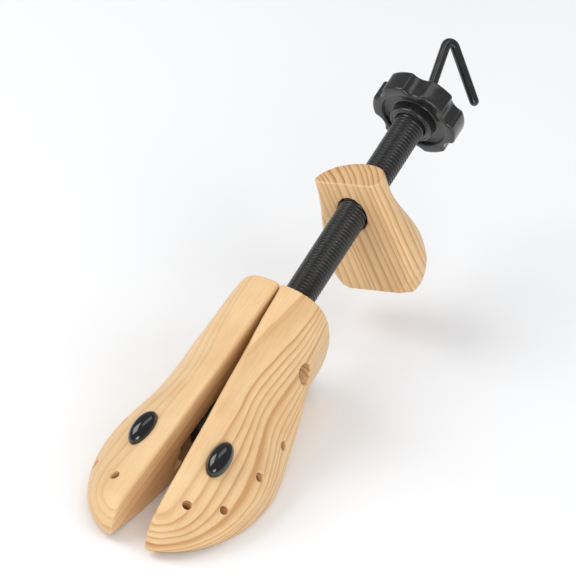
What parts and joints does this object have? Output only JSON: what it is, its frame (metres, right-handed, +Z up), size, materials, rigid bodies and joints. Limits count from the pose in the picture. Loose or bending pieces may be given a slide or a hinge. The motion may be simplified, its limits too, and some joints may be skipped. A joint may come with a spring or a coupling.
{
  "type": "two-way shoe stretcher",
  "caption": "Wooden shoe stretcher with a split toe block, a heel block travelling on a threaded tube, a scalloped hand wheel and a hooked spreader rod.",
  "frame": {"origin": "centre of the overall box, at the sole plane", "axes": "+Y from the toe towards the wheel and hook along the sole, +Z up from the sole, x = 0 is the split between the toe halves"},
  "size_m": [0.0838, 0.3272, 0.1154],
  "materials": {
    "pine": "sanded, unvarnished pale pine with tan growth lines",
    "black_thread": "satin black moulded thread",
    "black_plastic": "semi-gloss black moulding",
    "gloss_black": "polished black",
    "black_lacquer": "gloss black lacquer on steel",
    "zinc_steel": "zinc plated",
    "spring_steel": "drawn wire",
    "nylon": "natural nylon"
  },
  "bodies": {
    "yoke": {"pivot_yoke": "zinc_steel", "hinge_pin": "zinc_steel", "cross_bolt": "zinc_steel", "cross_nut": "zinc_steel", "bolt_washers": "zinc_steel", "return_springs": "spring_steel"},
    "right_half": {"toe_half_right": "pine", "hinge_leaf_right": "zinc_steel", "hinge_screws_right": "zinc_steel"},
    "left_half": {"toe_half_left": "pine", "hinge_leaf_left": "zinc_steel", "hinge_screws_left": "zinc_steel"},
    "right_plug": {"bunion_plug_right": "gloss_black"},
    "left_plug": {"bunion_plug_left": "gloss_black"},
    "spindle": {"threaded_tube": "black_thread", "tube_clips": "zinc_steel", "hand_wheel": "black_plastic", "wheel_pins": "zinc_steel", "rod_bush_front": "nylon", "rod_bush_rear": "nylon"},
    "hook": {"hook_rod": "black_lacquer", "rod_collar": "black_lacquer", "rod_clip": "zinc_steel"},
    "wedge": {"spreader_wedge": "black_plastic"},
    "heel": {"heel_block": "pine", "heel_nut": "zinc_steel"}
  },
  "joints": [
    {"name": "right_swing", "type": "hinge", "parent": "yoke", "child": "right_half", "pos_m": [0, -0.01024, 0.04439], "axis": [0, -0.342, 0.9397], "range_deg": [-3.3, 2.7]},
    {"name": "left_swing", "type": "hinge", "parent": "yoke", "child": "left_half", "pos_m": [0, -0.01024, 0.04439], "axis": [0, 0.342, -0.9397], "range_deg": [-3.3, 2.7]},
    {"name": "knob_turn", "type": "hinge", "parent": "yoke", "child": "spindle", "pos_m": [0, 0.0437, 0.06402], "axis": [0, 0.9397, 0.342], "range_deg": [-4320, 7200]},
    {"name": "heel_travel", "type": "slide", "parent": "yoke", "child": "heel", "axis": [0, 0.9397, 0.342], "range_m": [-0.0401, 0.0241]},
    {"name": "hook_turn", "type": "hinge", "parent": "yoke", "child": "hook", "pos_m": [0, 0.0437, 0.06402], "axis": [0, 0.9397, 0.342], "range_deg": [-4050, 4950]},
    {"name": "wedge_draw", "type": "slide", "parent": "yoke", "child": "wedge", "axis": [0, 0.9397, 0.342], "range_m": [-0.01101, 0.00901]},
    {"name": "right_plug_pull", "type": "slide", "parent": "right_half", "child": "right_plug", "axis": [0.4788, -0.2495, 0.8417], "range_m": [0, 0.025]},
    {"name": "left_plug_pull", "type": "slide", "parent": "left_half", "child": "left_plug", "axis": [-0.4788, -0.2495, 0.8417], "range_m": [0, 0.025]}
  ],
  "couplings": [
    {"joint": "heel_travel", "follows": "knob_turn", "m_per_rad": -0.00031831},
    {"joint": "wedge_draw", "follows": "hook_turn", "m_per_rad": -0.00012732},
    {"joint": "right_swing", "follows": "hook_turn", "ratio": -0.00066667},
    {"joint": "left_swing", "follows": "hook_turn", "ratio": -0.00066667}
  ]
}
